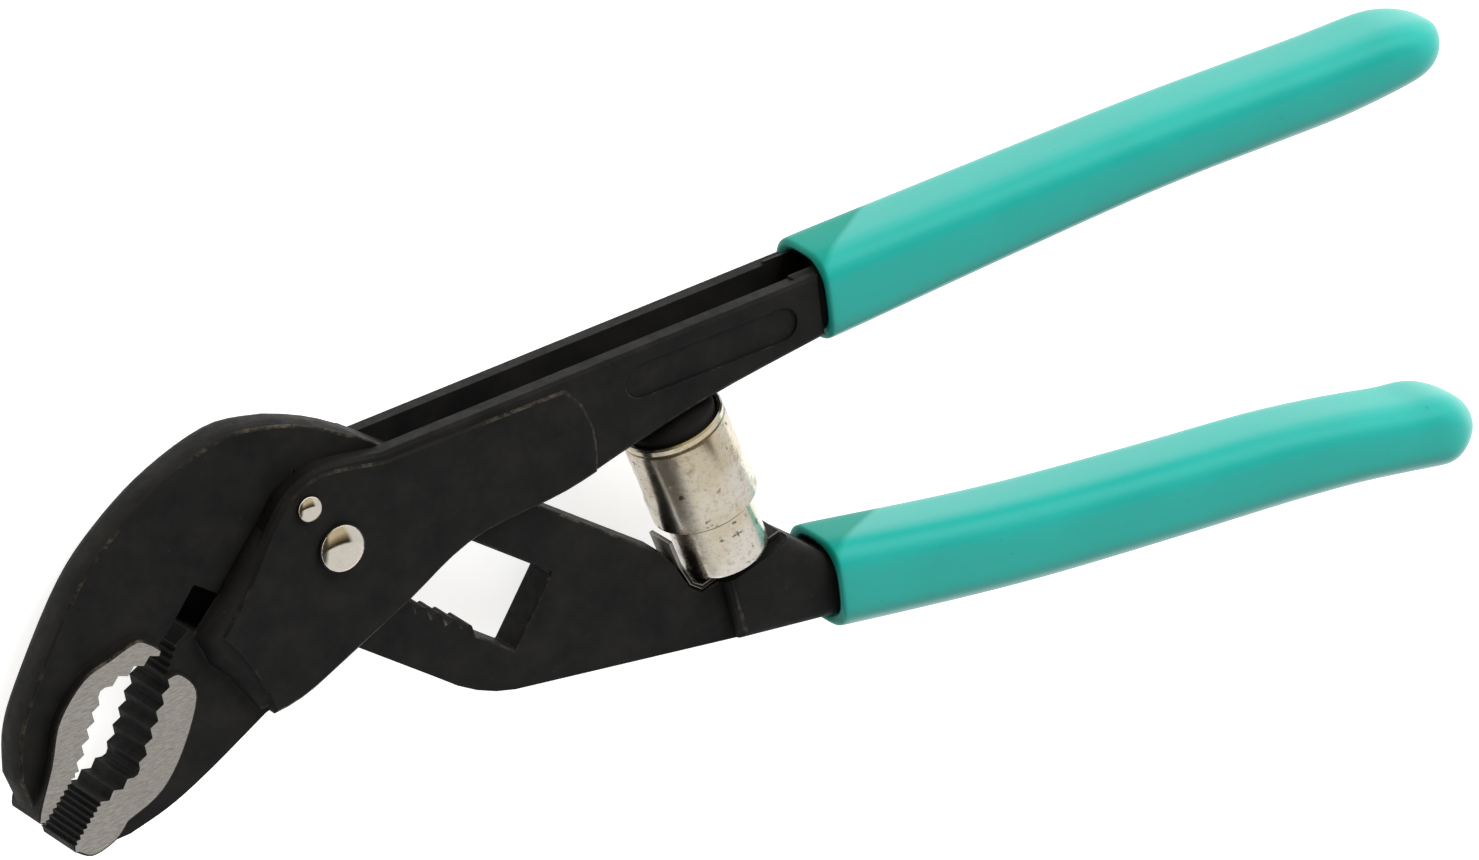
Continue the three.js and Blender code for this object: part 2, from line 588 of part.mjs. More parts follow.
// Pawl: a saddle over the bush, smooth on top, with teeth on both feet.
function rackPawl() {
  const top = WINDOW_HIGH - GAP;
  const tip = WINDOW_LOW + RACK_TOOTH_HEIGHT + GAP;
  const root = tip + PAWL_TOOTH_HEIGHT;
  const left = PAWL_LEFT;
  const right = PAWL_RIGHT;
  const arch = 0.93 * PAWL_BORE;
  const pitch = RACK_PITCH * 0.5;
  const points = [onRack(left, top), onRack(left, tip)];
  points.push(onRack(left + pitch * 0.6, root));
  points.push(onRack(-arch, tip));
  points.push(onRack(-arch, 0));
  points.push(onRack(arch, 0));
  points.push(onRack(arch, tip));
  points.push(onRack(arch + pitch * 0.6, root));
  points.push(onRack((arch + right) / 2, tip));
  points.push(onRack(right - pitch * 0.6, root));
  points.push(onRack(right, tip));
  points.push(onRack(right, top));
  return plate(shapeOf(points), PLATE_THICKNESS).subtract(round(PAWL_BORE, 0, HEAD_THICKNESS, 0, 0));
}

// Pressed sheet seat in the pocket, with one side turned up between the pocket's wall and the strut.
function springSeat() {
  const right = POCKET_RIGHT - GAP;
  const floorStart = SEAT_BACK + SEAT_FLOOR_START;
  const side = [[SEAT_BACK + SEAT_KNEE[0], SEAT_KNEE[1]], [SEAT_BACK, SEAT_BEND], [SEAT_BACK, SEAT_HEIGHT]];
  const face = side.map(([x, y]) => [x + SEAT_SHEET, y]);
  const corners = [[right, GAP], [right, SEAT_TOP], [floorStart + SEAT_SHEET / 2, SEAT_TOP]];
  corners.push(...face, ...side.reverse(), [floorStart, GAP]);
  return plate(shapeOf(corners.map((corner) => onStrut(...corner))), SEAT_WIDTH);
}

function innerSleeve() {
  const r = INNER_RADIUS;
  const low = INNER_SLEEVE_START;
  const floor = low + SLEEVE_WALL;
  const corner = 0.75 * SLEEVE_WALL;
  return turnedOnStrut([[0, low], [r - corner, low], [r, low + corner], [r, INNER_SLEEVE_END],
    [INNER_BORE, INNER_SLEEVE_END], [INNER_BORE, floor], [0, floor]]);
}

function outerSleeve() {
  const r = OUTER_SLEEVE_DIAMETER / 2;
  const neck = r - SLEEVE_LIP_STEP;
  const shoulder = OUTER_SLEEVE_END - SLEEVE_LIP;
  return turnedOnStrut([[OUTER_BORE, OUTER_SLEEVE_START], [r - SLEEVE_EDGE, OUTER_SLEEVE_START],
    [r, OUTER_SLEEVE_START + SLEEVE_EDGE], [r, shoulder], [neck, shoulder],
    [neck, OUTER_SLEEVE_END], [OUTER_BORE, OUTER_SLEEVE_END], [OUTER_BORE, OUTER_SLEEVE_START]]);
}

// Domed shoe that closes the outer sleeve and slides along the channel's underside.
function strutShoe() {
  const r = OUTER_BORE - GAP;
  const high = OUTER_SLEEVE_END + SHOE_RISE;
  const profile = new THREE.Shape();
  profile.moveTo(0, SHOE_START);
  profile.lineTo(r, SHOE_START);
  profile.lineTo(r, OUTER_SLEEVE_END + SHOE_RISE * 0.3);
  profile.quadraticCurveTo(r * 0.8, high, 0, high);
  return turnedOnStrut(profile.extractPoints(6).shape);
}

// One unbroken wire wound as a helix between the inner sleeve's floor and the shoe.
class Helix extends THREE.Curve {
  getPoint(t, target = new THREE.Vector3()) {
    const angle = t * SPRING_TURNS * 2 * Math.PI;
    const r = INNER_BORE - GAP - SPRING_WIRE / 2;
    const low = SPRING_START + SPRING_WIRE / 2;
    const high = SPRING_END - SPRING_WIRE / 2;
    return target.set(r * Math.cos(angle), low + (high - low) * t, r * Math.sin(angle));
  }
}

function compressionSpring() {
  const wire = new THREE.Shape();
  for (let i = 0; i < 5; i += 1) {
    const angle = (i / 5) * 2 * Math.PI;
    const x = (SPRING_WIRE / 2) * Math.cos(angle);
    const y = (SPRING_WIRE / 2) * Math.sin(angle);
    if (i === 0) wire.moveTo(x, y);
    else wire.lineTo(x, y);
  }
  const path = new Helix();
  const geometry = new THREE.ExtrudeGeometry(wire, { steps: SPRING_TURNS * 8, extrudePath: path });
  const gap = (SPRING_END - SPRING_START - SPRING_WIRE) / SPRING_TURNS - SPRING_WIRE;
  console.log(`spring: least gap between turns ${gap.toFixed(2)} mm`);
  geometry.rotateZ(THREE.MathUtils.degToRad(STRUT_LEAN));
  geometry.translate(STRUT_FOOT[0], STRUT_FOOT[1], MID);
  return solid(geometry);
}

const pliers = new THREE.Group();
pliers.name = 'water_pump_pliers';
pliers.add(meshOf('slotted_handle', slottedHandle(), BLACK));
pliers.add(meshOf('toothed_handle', toothedHandle(), BLACK));
pliers.add(meshOf('pivot_rivet', rivet(0, 0, RIVET_HEAD_DIAMETER, RIVET_SHANK_DIAMETER,
  RIVET_BACK_DIAMETER), NICKEL));
pliers.add(meshOf('stop_rivet', rivet(...STOP_POSITION, STOP_HEAD_DIAMETER, STOP_SHANK_DIAMETER,
  STOP_BACK_DIAMETER), NICKEL));
pliers.add(meshOf('pivot_bush', pivotBush(), STEEL));
pliers.add(meshOf('rack_pawl', rackPawl(), STEEL));
pliers.add(meshOf('spring_seat', springSeat(), NICKEL));
pliers.add(meshOf('inner_sleeve', innerSleeve(), NICKEL));
pliers.add(meshOf('outer_sleeve', outerSleeve(), NICKEL));
pliers.add(meshOf('strut_shoe', strutShoe(), BLACK));
pliers.add(meshOf('compression_spring', compressionSpring(), STEEL));
pliers.add(meshOf('upper_grip', grip(UPPER_STATIONS, UPPER_GRIP_END), TEAL));
pliers.add(meshOf('lower_grip', grip(LOWER_STATIONS, LOWER_GRIP_END), TEAL));

export default pliers;
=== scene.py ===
import json
import math

import bmesh
import bpy
from mathutils import Matrix, Vector
from mathutils.geometry import intersect_point_line

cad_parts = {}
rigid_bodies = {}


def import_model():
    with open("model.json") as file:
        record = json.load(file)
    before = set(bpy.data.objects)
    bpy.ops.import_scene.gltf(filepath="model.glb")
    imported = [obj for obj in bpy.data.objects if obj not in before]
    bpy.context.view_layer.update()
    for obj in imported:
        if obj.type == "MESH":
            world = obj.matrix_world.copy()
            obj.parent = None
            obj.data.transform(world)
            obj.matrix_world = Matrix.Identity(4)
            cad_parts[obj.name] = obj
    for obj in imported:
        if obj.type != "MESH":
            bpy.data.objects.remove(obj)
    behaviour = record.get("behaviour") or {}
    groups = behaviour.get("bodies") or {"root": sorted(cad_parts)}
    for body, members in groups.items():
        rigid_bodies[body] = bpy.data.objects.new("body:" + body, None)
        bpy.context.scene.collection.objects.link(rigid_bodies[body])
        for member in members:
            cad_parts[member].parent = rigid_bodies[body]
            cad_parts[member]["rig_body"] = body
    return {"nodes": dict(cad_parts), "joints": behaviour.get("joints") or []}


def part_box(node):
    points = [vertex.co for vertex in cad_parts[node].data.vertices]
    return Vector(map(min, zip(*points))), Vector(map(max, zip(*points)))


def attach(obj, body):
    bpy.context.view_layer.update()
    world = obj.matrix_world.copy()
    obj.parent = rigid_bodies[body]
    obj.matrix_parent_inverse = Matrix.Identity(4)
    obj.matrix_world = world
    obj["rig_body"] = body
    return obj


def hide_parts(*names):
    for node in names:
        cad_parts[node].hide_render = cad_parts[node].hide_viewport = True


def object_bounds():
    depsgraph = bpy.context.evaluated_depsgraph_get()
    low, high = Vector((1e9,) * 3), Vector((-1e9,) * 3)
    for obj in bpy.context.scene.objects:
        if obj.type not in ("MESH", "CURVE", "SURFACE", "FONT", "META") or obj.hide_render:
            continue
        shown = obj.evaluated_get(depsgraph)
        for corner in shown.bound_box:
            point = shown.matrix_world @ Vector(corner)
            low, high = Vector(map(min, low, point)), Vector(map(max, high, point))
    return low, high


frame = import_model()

CAD_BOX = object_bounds()
MM = 0.001

# The photograph's camera.
PHOTO_WIDTH = 1479
FOCAL_PIXELS = 16000
SENSOR_WIDTH = 36
CAMERA_PLACE = Vector((-0.9641, 1.0254, 1.8141))
CAMERA_RIGHT = Vector((0.8323, -0.1146, 0.5422))
CAMERA_UP = Vector((0.3303, 0.8881, -0.3194))

# Where the bright screen, the bright wall and the dark end of the room are, seen from the tool.
SCREEN = Vector((-0.04, -0.75, 0.3))
SIDE_WALL = Vector((1, 0, 0))
DARK_SIDE = Vector((-1, 0, 0))

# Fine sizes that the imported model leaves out.
FORGED_EDGE = 0.35 * MM
TOOTH_EDGE = 0.07 * MM
SHEET_EDGE = 0.12 * MM
SLEEVE_WALL = 0.8 * MM
# Width, blur and slant of the painted dark reflection: a darker, duller collar on each grip behind its
# front.
PAINTED_REFLECTION_WIDTH = 17.3 * MM
PAINTED_REFLECTION_BLUR = 0.8 * MM
PAINTED_REFLECTION_SLANT = 1.35

# The forgings: what counts as flat, as sharp and as a corner, and where the jaws, teeth and rims lie.
MERGE_DISTANCE = 0.002 * MM
FLAT_ANGLE = math.radians(0.1)
SHARP_ANGLE = math.radians(28)
CORNER_ANGLE = math.radians(40)
ROOM_PER_EDGE = 2.1
PAD_END = -24 * MM
PAD_DEPTH = 0.05 * MM
TOOTH_LENGTH = 12 * MM
RIM_DEPTH = 0.3 * MM

# The grips: the lip at the front and the round tip. A tip's top can stand fuller than the node's.
GRIP_LIP = 0.85 * MM
GRIP_WALL = 1.8 * MM
GRIP_INSIDE = 4 * GRIP_WALL
GRIP_ROUND = 4.4 * MM
GRIP_STEP = 9 * MM
LIP_STEPS = 4
CORNER_STEPS = 5
TIP_STEPS = 14
TIP_LENGTH = 24 * MM
TIP_TOP = 12 * MM
TIP_UNDERSIDE = 6.5 * MM
TIP_SIDE = 8 * MM
TIP_FULLNESS = 0.6

# The turned pieces. A rivet's shank and back are shares of its head's radius.
LATHE_SIDES = 96
LATHE_SHARP = math.radians(35)
SLEEVE_FLARE = 0.2 * MM
# Depth of the painted shadow line at the outer sleeve's lower end, where it overlaps the inner sleeve.
SLEEVE_END_SHADE_LINE = 0.4 * MM
SHOE_STEPS = 8
RIVET_SHANK = 0.45
RIVET_BACK = 0.84
RIVET_BACK_DEPTH = 1.2 * MM
RIVET_RIM = 0.12
RIVET_STEPS = 12
STRUT_UP = -Vector(next(j for j in frame["joints"] if j["name"] == "strut_squeeze")["axis"])

# The studio: place, aim, size in metres and power in watts of each lamp.
KEY = ((1.5, 1.6, 1.15), (0.06, 0, 0), (1.8, 1.3), 115)
FILL = ((-0.9, -0.1, 0.9), (0, 0, 0), (0.8, 0.8), 4)
FLOOR_SIZE = 6
FLOOR_GAP = 0.2 * MM


def span(node, axis):
    """Lowest and highest place of a node along an axis."""
    along = [v.co.dot(axis) for v in frame["nodes"][node].data.vertices]
    return min(along), max(along)


# Materials.
def new_material(name):
    material = bpy.data.materials.new(name)
    material.use_nodes = True
    return material, material.node_tree, material.node_tree.nodes["Principled BSDF"]


def link(tree, output, socket):
    tree.links.new(output, socket)


def coordinates(tree, stretch=(1, 1, 1), turn=0.0):
    place = tree.nodes.new("ShaderNodeTexCoord")
    mapping = tree.nodes.new("ShaderNodeMapping")
    mapping.inputs["Rotation"].default_value = (0, 0, turn)
    mapping.inputs["Scale"].default_value = stretch
    link(tree, place.outputs["Object"], mapping.inputs["Vector"])
    return mapping.outputs["Vector"]


def noise(tree, scale, detail=4, roughness=0.55, stretch=(1, 1, 1), turn=0.0):
    node = tree.nodes.new("ShaderNodeTexNoise")
    node.inputs["Scale"].default_value = scale
    node.inputs["Detail"].default_value = detail
    node.inputs["Roughness"].default_value = roughness
    link(tree, coordinates(tree, stretch, turn), node.inputs["Vector"])
    return node.outputs["Fac"]


def ramp(tree, value, stops):
    node = tree.nodes.new("ShaderNodeValToRGB")
    elements = node.color_ramp.elements
    while len(elements) < len(stops):
        elements.new(0.5)
    for element, (place, colour) in zip(elements, stops):
        element.position = place
        element.color = (*colour, 1)
    link(tree, value, node.inputs["Fac"])
    return node.outputs["Color"]


def spread(tree, value, low, high, start=0.3, end=0.7):
    node = tree.nodes.new("ShaderNodeMapRange")
    node.inputs["From Min"].default_value = start
    node.inputs["From Max"].default_value = end
    node.inputs["To Min"].default_value = low
    node.inputs["To Max"].default_value = high
    link(tree, value, node.inputs["Value"])
    return node.outputs["Result"]


def mix(tree, factor, first, second):
    node = tree.nodes.new("ShaderNodeMix")
    node.data_type = "RGBA"
    link(tree, factor, node.inputs["Factor"])
    for value, socket in ((first, node.inputs["A"]), (second, node.inputs["B"])):
        if isinstance(value, tuple):
            socket.default_value = (*value, 1)
        else:
            link(tree, value, socket)
    return node.outputs["Result"]


def bump(tree, heights):
    """A chain of bumps from (height, strength, distance), coarse ones first."""
    normal = None
    for height, strength, distance in heights:
        node = tree.nodes.new("ShaderNodeBump")
        node.inputs["Strength"].default_value = strength
        node.inputs["Distance"].default_value = distance
        link(tree, height, node.inputs["Height"])
        if normal is not None:
            link(tree, normal, node.inputs["Normal"])
        normal = node.outputs["Normal"]
    return normal


def black_steel():
    material, tree, shader = new_material("black_steel")
    dark, pale = (0.0048, 0.0048, 0.005), (0.009, 0.0088, 0.0085)
    tone = ramp(tree, noise(tree, 160, 6), [(0.34, dark), (0.7, pale)])
    rubbed = ramp(tree, noise(tree, 95, 8, 0.7), [(0.6, (0, 0, 0)), (0.8, (0.6, 0.6, 0.6))])
    fleck = ramp(tree, noise(tree, 1700, 2), [(0.76, (0, 0, 0)), (0.8, (0.7, 0.7, 0.7))])
    skin = mix(tree, rubbed, tone, (0.0145, 0.0137, 0.0122))
    link(tree, mix(tree, fleck, skin, (0.06, 0.056, 0.05)), shader.inputs["Base Color"])
    link(tree, spread(tree, noise(tree, 700), 0.5, 0.68), shader.inputs["Roughness"])
    shader.inputs["Specular IOR Level"].default_value = 0.09
    heights = [(noise(tree, 260, 3), 0.25, 0.00018), (noise(tree, 1500, 3), 0.22, 0.00006)]
    link(tree, bump(tree, heights), shader.inputs["Normal"])
    return material


def worn_edge_and_shade_line():
    """The black finish where edges are rubbed through in patches, also laid as a painted shadow line along
    the outer sleeve's lower end.
    """
    material, tree, shader = new_material("worn_edge_and_shade_line")
    patch = noise(tree, 70, 3)
    rub = ramp(tree, noise(tree, 420, 7, 0.75), [(0.46, (0, 0, 0)), (0.72, (1, 1, 1))])
    bare = mix(tree, rub, (0.0055, 0.0053, 0.005), (0.078, 0.064, 0.044))
    shown = ramp(tree, patch, [(0.45, (0, 0, 0)), (0.6, (1, 1, 1))])
    link(tree, mix(tree, shown, (0.006, 0.0058, 0.0056), bare), shader.inputs["Base Color"])
    link(tree, spread(tree, noise(tree, 600), 0.45, 0.62), shader.inputs["Roughness"])
    shader.inputs["Specular IOR Level"].default_value = 0.14
    link(tree, bump(tree, [(noise(tree, 1200, 3), 0.2, 0.00005)]), shader.inputs["Normal"])
    return material


def ground_steel():
    material, tree, shader = new_material("ground_steel")
    grain = noise(tree, 380, 7, 0.75, stretch=(2, 9, 1), turn=math.radians(-35))
    cloud = noise(tree, 120, 4)
    dark, pale = (0.17, 0.158, 0.143), (0.4, 0.384, 0.358)
    light = ramp(tree, grain, [(0.32, dark), (0.52, (0.29, 0.275, 0.253)), (0.72, pale)])
    dull = ramp(tree, cloud, [(0.45, (0, 0, 0)), (0.8, (0.35, 0.35, 0.35))])
    link(tree, mix(tree, dull, light, (0.21, 0.193, 0.172)), shader.inputs["Base Color"])
    link(tree, spread(tree, grain, 0.36, 0.5), shader.inputs["Roughness"])
    shader.inputs["Metallic"].default_value = 0.8
    link(tree, bump(tree, [(grain, 0.3, 0.00005)]), shader.inputs["Normal"])
    return material


def nickel(name, stained, rough, tarnish):
    """Yellowed plating with brown patches and clusters of dark pits, fewer where it is stained less."""
    material, tree, shader = new_material(name)
    cloud = noise(tree, 90, 4, 0.6)
    blotch = noise(tree, 170, 6, 0.7)
    grain = noise(tree, 1500, 4, 0.7)
    full = (stained, stained, stained)
    plate = ramp(tree, cloud, [(0.36, tarnish), (0.6, (0.66, 0.62, 0.56))])
    brown = ramp(tree, blotch, [(0.55, (0, 0, 0)), (0.63, full)])
    aged = mix(tree, brown, plate, (0.33, 0.265, 0.18))
    mottle = ramp(tree, grain, [(0.5, (0, 0, 0)), (0.72, full)])
    dull = mix(tree, mottle, aged, (0.4, 0.35, 0.28))
    pits = ramp(tree, noise(tree, 560, 3, 0.6), [(0.63, (0, 0, 0)), (0.68, full)])
    cluster = ramp(tree, noise(tree, 120, 2), [(0.42, (0, 0, 0)), (0.52, (1, 1, 1))])
    spots = mix(tree, cluster, (0, 0, 0), pits)
    link(tree, mix(tree, spots, dull, (0.05, 0.04, 0.028)), shader.inputs["Base Color"])
    link(tree, spread(tree, blotch, rough, rough + 0.16, 0.45, 0.7), shader.inputs["Roughness"])
    shader.inputs["Metallic"].default_value = 1.0
    heights = [(cloud, 0.1, 0.0002), (noise(tree, 900, 2), 0.1, 0.00005)]
    link(tree, bump(tree, heights), shader.inputs["Normal"])
    return material


def seat_plate():
    """Sheet that is dull at the top of its flap and painted near black down in its pocket, as painted
    shade.
    """
    material, tree, shader = new_material("seat_plate")
    low, high = span("spring_seat", STRUT_UP)
    height = tree.nodes.new("ShaderNodeVectorMath")
    height.operation = "DOT_PRODUCT"
    height.inputs[1].default_value = STRUT_UP
    link(tree, coordinates(tree), height.inputs[0])
    # Painted shade: lower in the pocket the sheet turns near black and loses its metal sheen, standing in
    # for the pocket's deep shadow.
    above_painted_shade = spread(tree, height.outputs["Value"], 0, 1, 0.55 * low + 0.45 * high, 0.35 * low + 0.65 * high)
    tone = ramp(tree, noise(tree, 300, 5), [(0.3, (0.2, 0.19, 0.17)), (0.7, (0.32, 0.305, 0.28))])
    link(tree, mix(tree, above_painted_shade, (0.008, 0.0075, 0.007), tone), shader.inputs["Base Color"])
    link(tree, spread(tree, noise(tree, 500), 0.45, 0.6), shader.inputs["Roughness"])
    link(tree, spread(tree, above_painted_shade, 0, 0.7, 0, 1), shader.inputs["Metallic"])
    shader.inputs["Specular IOR Level"].default_value = 0.1
    return material


def bare_steel():
    material, tree, shader = new_material("bare_steel")
    grain = noise(tree, 500, 4)
    tone = ramp(tree, grain, [(0.3, (0.2, 0.19, 0.175)), (0.7, (0.33, 0.32, 0.3))])
    link(tree, tone, shader.inputs["Base Color"])
    link(tree, spread(tree, grain, 0.3, 0.48), shader.inputs["Roughness"])
    shader.inputs["Metallic"].default_value = 1.0
    return material


def teal_vinyl(name, front):
    """Dipped vinyl, with a painted dark reflection: a duller and darker collar slanting across the grip
    behind its front.
    """
    material, tree, shader = new_material(name)
    cloud = noise(tree, 45, 4)
    fleck = noise(tree, 1100, 2)
    along = tree.nodes.new("ShaderNodeVectorMath")
    along.operation = "DOT_PRODUCT"
    along.inputs[1].default_value = (1, 0, PAINTED_REFLECTION_SLANT)
    link(tree, coordinates(tree), along.inputs[0])
    edge = front + PAINTED_REFLECTION_WIDTH
    past = spread(tree, along.outputs["Value"], 0, 1, edge - PAINTED_REFLECTION_BLUR, edge + PAINTED_REFLECTION_BLUR)
    base = ramp(tree, cloud, [(0.3, (0.005, 0.214, 0.187)), (0.7, (0.006, 0.24, 0.211))])
    # Painted reflection: behind the front the collar is darker and less glossy, standing in for a darker
    # reflection there.
    shade = mix(tree, past, (0.005, 0.168, 0.134), base)
    speck = ramp(tree, fleck, [(0.73, (0, 0, 0)), (0.78, (0.6, 0.6, 0.6))])
    link(tree, mix(tree, speck, shade, (0.005, 0.13, 0.108)), shader.inputs["Base Color"])
    link(tree, spread(tree, cloud, 0.28, 0.38), shader.inputs["Roughness"])
    link(tree, spread(tree, past, 0.06, 0.34, 0, 1), shader.inputs["Specular IOR Level"])
    heights = [(noise(tree, 60, 3), 0.1, 0.0004), (noise(tree, 1300, 2), 0.06, 0.00004)]
    link(tree, bump(tree, heights), shader.inputs["Normal"])
    return material


MATERIALS = {
    "black": black_steel(),
    "edge": worn_edge_and_shade_line(),
    "ground": ground_steel(),
    "nickel": nickel("nickel", 0.8, 0.2, (0.56, 0.49, 0.36)),
    "rivet": nickel("rivet_nickel", 0.15, 0.08, (0.58, 0.53, 0.46)),
    "seat": seat_plate(),
    "steel": bare_steel(),
    "upper_teal": teal_vinyl("upper_teal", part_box("upper_grip")[0].x),
    "lower_teal": teal_vinyl("lower_teal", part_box("lower_grip")[0].x),
}


# Meshes.
def place_piece(name, mesh, node, materials):
    """Puts a finished mesh in the scene in place of a CAD node, riding on that node's body."""
    for key in materials:
        mesh.materials.append(MATERIALS[key])
    piece = bpy.data.objects.new(name, mesh)
    bpy.context.scene.collection.objects.link(piece)
    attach(piece, frame["nodes"][node]["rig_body"])
    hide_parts(node)
    return piece


def smooth_by_angle(work, angle):
    for face in work.faces:
        face.smooth = True
    for edge in work.edges:
        edge.smooth = len(edge.link_faces) != 2 or edge.calc_face_angle(0) < angle


def rounded_copy(node, width):
    """The node's own shape with flat faces joined and its sharp edges rounded, as a working mesh.
    The rounding takes the second material. It is finer on the jaws' teeth and on narrow strips."""
    work = bmesh.new()
    work.from_mesh(frame["nodes"][node].data)
    bmesh.ops.remove_doubles(work, verts=work.verts, dist=MERGE_DISTANCE)
    bmesh.ops.dissolve_limit(work, angle_limit=FLAT_ANGLE, verts=work.verts, edges=work.edges)
    for face in work.faces:
        face.material_index = 0
    sizes = (TOOTH_EDGE, (TOOTH_EDGE + width) / 2, width)
    rank = work.edges.layers.int.new("rank")
    for chain in sharp_chains(work):
        tooth = middle(chain[0]).x < PAD_END and sum(edge.calc_length() for edge in chain) < TOOTH_LENGTH
        room = sorted(map(room_beside, chain))[len(chain) // 10]
        allowed = min(TOOTH_EDGE if tooth else width, room / ROOM_PER_EDGE)
        for edge in chain:
            edge[rank] = sum(size <= allowed for size in sizes)
    for number, size in enumerate(sizes, 1):
        edges = [e for e in work.edges if e[rank] == number and is_sharp(e)]
        bmesh.ops.bevel(work, geom=edges, offset=size, offset_type="OFFSET", segments=2, profile=0.5,
                        affect="EDGES", material=1, clamp_overlap=False, loop_slide=True)
    for face in work.faces:
        if sum(edge.calc_face_angle_signed(0) for edge in face.edges) < 0:
            face.material_index = 0
    smooth_by_angle(work, CORNER_ANGLE)
    return work


def is_sharp(edge):
    """A sharp edge of the node itself, not one of a rounding."""
    if len(edge.link_faces) != 2 or any(face.material_index == 1 for face in edge.link_faces):
        return False
    return edge.calc_face_angle(0) > SHARP_ANGLE


def sharp_chains(work):
    """The sharp edges, grouped where one runs on into the next without a corner."""
    waiting = dict.fromkeys(edge for edge in work.edges if is_sharp(edge))
    while waiting:
        chain = [waiting.popitem()[0]]
        for edge in chain:
            for end in edge.verts:
                away = edge.other_vert(end).co - end.co
                for other in end.link_edges:
                    turn = math.pi - away.angle(other.other_vert(end).co - end.co)
                    if other in waiting and turn < CORNER_ANGLE:
                        chain.append(other)
                        del waiting[other]
        yield chain


def room_beside(edge):
    """The least width of the two faces beside an edge, measured to the sides that run back along it."""
    least = 1.0
    for own in edge.link_loops:
        start, end = own.vert.co, own.link_loop_next.vert.co
        spots = [start.lerp(end, part) for part in (0.1, 0.5, 0.9)]
        for loop in own.face.loops:
            a, b = loop.vert.co, loop.link_loop_next.vert.co
            if (b - a).dot(end - start) > -0.3 * (b - a).length * (end - start).length:
                continue
            for spot in spots:
                foot, part = intersect_point_line(spot, a, b)
                if 0 <= part <= 1:
                    least = min(least, (spot - foot).length)
    return least


def middle(edge):
    return (edge.verts[0].co + edge.verts[1].co) / 2


def finished(work, name):
    mesh = bpy.data.meshes.new(name)
    work.to_mesh(mesh)
    work.free()
    return mesh


def forged_handle(node, name):
    """A handle with worn edges and the flats of its jaw ground bare on both sides."""
    low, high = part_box(node)
    work = rounded_copy(node, FORGED_EDGE)
    for face in work.faces:
        z = face.calc_center_median().z
        at_rim = min(z - low.z, high.z - z) < RIM_DEPTH
        if at_rim and 0.2 < abs(face.normal.z) < 0.95:
            face.material_index = 1
    for side in (1, -1):
        jaw = [f for f in work.faces if f.normal.z * side > 0.99 and f.calc_center_median().x < PAD_END]
        outermost = max(side * f.calc_center_median().z for f in jaw)
        for face in jaw:
            if side * face.calc_center_median().z > outermost - PAD_DEPTH:
                face.material_index = 2
    piece = place_piece(name, finished(work, name), node, ["black", "edge", "ground"])
    piece.modifiers.new("flats", "WEIGHTED_NORMAL").keep_sharp = True
    return piece


def lathe(points, place, axis):
    """A turned mesh from (radius, height) points that close on themselves or on the axis."""
    work = bmesh.new()
    turn = Vector((0, 0, 1)).rotation_difference(axis).to_matrix().to_4x4()
    frame_of_axis = Matrix.Translation(place) @ turn
    rings = []
    for radius, height in points:
        if radius == 0:
            rings.append([work.verts.new(frame_of_axis @ Vector((0, 0, height)))])
            continue
        ring = []
        for i in range(LATHE_SIDES):
            angle = 2 * math.pi * i / LATHE_SIDES
            local = Vector((radius * math.cos(angle), radius * math.sin(angle), height))
            ring.append(work.verts.new(frame_of_axis @ local))
        rings.append(ring)
    pairs = list(zip(rings, rings[1:]))
    if len(rings[0]) > 1:
        pairs.append((rings[-1], rings[0]))
    for first, second in pairs:
        for i in range(LATHE_SIDES):
            j = (i + 1) % LATHE_SIDES
            corners = [first[i % len(first)], first[j % len(first)]]
            corners += [second[j % len(second)], second[i % len(second)]]
            unique = list(dict.fromkeys(corners))
            if len(unique) > 2:
                work.faces.new(unique)
    bmesh.ops.recalc_face_normals(work, faces=work.faces)
    smooth_by_angle(work, LATHE_SHARP)
    return work


def strut_frame(node):
    """A point on the strut's axis at its own zero height, and a node's radius about it."""
    low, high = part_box(node)
    centre = (low + high) / 2
    return centre - STRUT_UP * centre.dot(STRUT_UP), (high.z - low.z) / 2


def outer_sleeve():
    place, r = strut_frame("outer_sleeve")
    low, high = span("outer_sleeve", STRUT_UP)
    bore = r - SLEEVE_WALL
    flared = r + SLEEVE_FLARE
    points = [
        (bore, low), (r - 0.3 * MM, low), (flared, low + 0.45 * MM),
        (flared, low + 4.2 * MM), (r, low + 5.6 * MM),
        (r, high - 1.75 * MM), (r - 0.12 * MM, high - 1.5 * MM),
        (r - 0.42 * MM, high - 1.42 * MM), (r - 0.42 * MM, high - 1.15 * MM),
        (r - 0.08 * MM, high - 1.05 * MM), (r - 0.04 * MM, high - 0.3 * MM),
        (r - 0.25 * MM, high), (bore + 0.1 * MM, high), (bore, high - 0.2 * MM),
    ]
    work = lathe(points, place, STRUT_UP)
    # Painted shade: the lowest band of the outer sleeve takes the dark edge finish as a painted shadow
    # line over the inner sleeve.
    for face in work.faces:
        height = face.calc_center_median().dot(STRUT_UP)
        face.material_index = 1 if height < low + SLEEVE_END_SHADE_LINE else 0
    mesh = finished(work, "strut_outer_sleeve")
    return place_piece("strut_outer_sleeve", mesh, "outer_sleeve", ["nickel", "edge"])


def inner_sleeve():
    place, r = strut_frame("inner_sleeve")
    low, high = span("inner_sleeve", STRUT_UP)
    bore = r - SLEEVE_WALL
    floor = low + SLEEVE_WALL
    points = [
        (0, low), (r - 0.9 * MM, low), (r - 0.35 * MM, low + 0.12 * MM),
        (r - 0.08 * MM, low + 0.4 * MM), (r, low + 0.9 * MM),
        (r, high - 0.2 * MM), (r - 0.2 * MM, high), (bore, high), (bore, floor), (0, floor),
    ]
    mesh = finished(lathe(points, place, STRUT_UP), "strut_inner_sleeve")
    return place_piece("strut_inner_sleeve", mesh, "inner_sleeve", ["nickel"])


